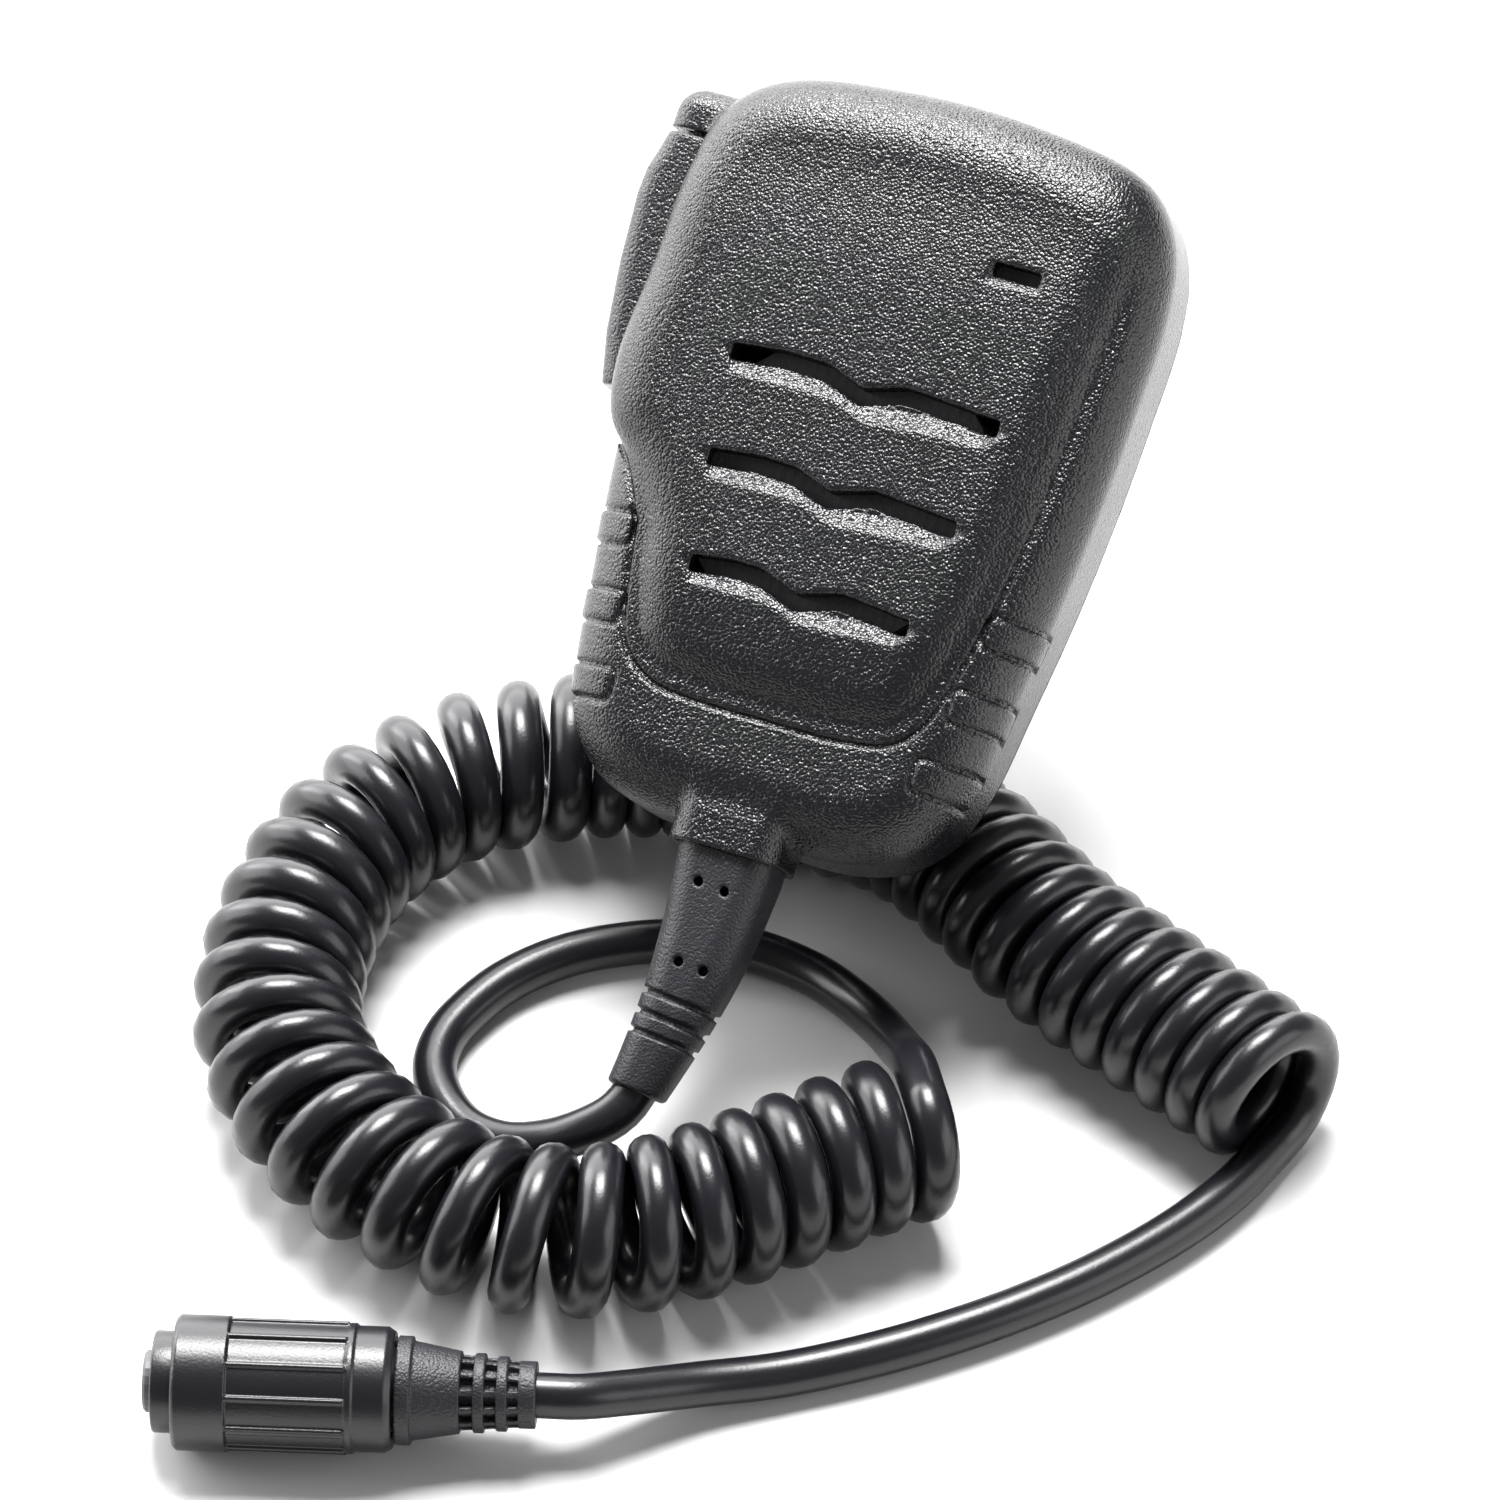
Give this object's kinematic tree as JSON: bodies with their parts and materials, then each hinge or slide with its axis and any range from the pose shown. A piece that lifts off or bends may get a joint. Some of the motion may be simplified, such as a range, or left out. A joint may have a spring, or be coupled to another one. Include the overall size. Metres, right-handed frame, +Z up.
{
  "type": "hand microphone",
  "caption": "Hand speaker-microphone with a slotted front, side talk key and swivel back clip, leaning on its curly cord with a round coupling plug.",
  "frame": {"origin": "on the flat front face of the speaker panel, on its centre line, 62 mm up from the lower edge of the case", "axes": "+Z up from the table that the cord lies on, +Y the way the case leans back over its length, +X across the case; the case's long axis is tilted 35.5 degrees up from +Y"},
  "size_m": [0.125, 0.1714, 0.0801],
  "materials": {
    "front_case": "textured",
    "rear_case": "textured",
    "talk_key": "textured",
    "boot": "fine matte grain",
    "cord": "satin",
    "plug": "satin",
    "clip": "satin",
    "steel": "plated",
    "brass": "plated",
    "board": "satin",
    "screen": "woven",
    "cone": "matte paper",
    "seal": "matte",
    "insulator": "satin"
  },
  "bodies": {
    "case": {"front_case": "front_case", "rear_case": "rear_case", "case_seal": "seal", "case_screw_1": "steel", "case_screw_2": "steel", "case_screw_3": "steel", "case_screw_4": "steel", "dust_screen": "screen", "speaker_gasket": "seal", "speaker_frame": "steel", "speaker_cone": "cone", "speaker_magnet": "steel", "mic_screen": "screen", "mic_holder": "seal", "mic_capsule": "steel", "circuit_board": "board", "board_screw_1": "steel", "board_screw_2": "steel", "cord_header": "insulator", "ptt_switch": "insulator", "ptt_pin": "steel", "ptt_seal": "seal", "inner_lead": "cord", "cable_boot": "boot", "clip_screw": "steel", "cord_start": "cord", "curly_cord": "cord", "cord_end": "cord", "plug_boot": "boot", "plug_shell": "plug", "plug_seal": "seal", "plug_insert": "insulator", "contact_1": "brass", "contact_2": "brass", "contact_3": "brass", "contact_4": "brass", "contact_5": "brass", "contact_6": "brass", "contact_7": "brass"},
    "talk_key": {"ptt_key": "talk_key"},
    "switch_plunger": {"ptt_plunger": "insulator"},
    "clip": {"clip_plate": "clip", "clip_pin": "steel", "clip_spring": "steel"},
    "clip_lever": {"clip_lever": "clip"},
    "coupling_ring": {"coupling_ring": "plug"}
  },
  "joints": [
    {"name": "talk_key_press", "type": "hinge", "parent": "case", "child": "talk_key", "pos_m": [-0.0286, 0.01891, -0.00309], "axis": [0, -0.5807, 0.8141], "range_deg": [0, 3], "stiffness_Nm_per_rad": 1.2, "springref_deg": -1.72},
    {"name": "switch_plunger_press", "type": "slide", "parent": "case", "child": "switch_plunger", "axis": [1, 0, 0], "range_m": [0, 0.0013]},
    {"name": "clip_swivel", "type": "hinge", "parent": "case", "child": "clip", "pos_m": [0, 0.01254, -0.02791], "axis": [0, 0.5807, -0.8141], "continuous": true},
    {"name": "clip_open", "type": "hinge", "parent": "clip", "child": "clip_lever", "pos_m": [0, 0.0241, -0.02862], "axis": [1, 0, 0], "range_deg": [0, 20], "stiffness_Nm_per_rad": 0.6, "springref_deg": -8.59},
    {"name": "coupling_ring_turn", "type": "hinge", "parent": "case", "child": "coupling_ring", "pos_m": [-0.02233, -0.11947, -0.06344], "axis": [0.9444, 0.3289, 0], "continuous": true}
  ],
  "couplings": [
    {"joint": "switch_plunger_press", "follows": "talk_key_press", "m_per_rad": 0.0236}
  ]
}
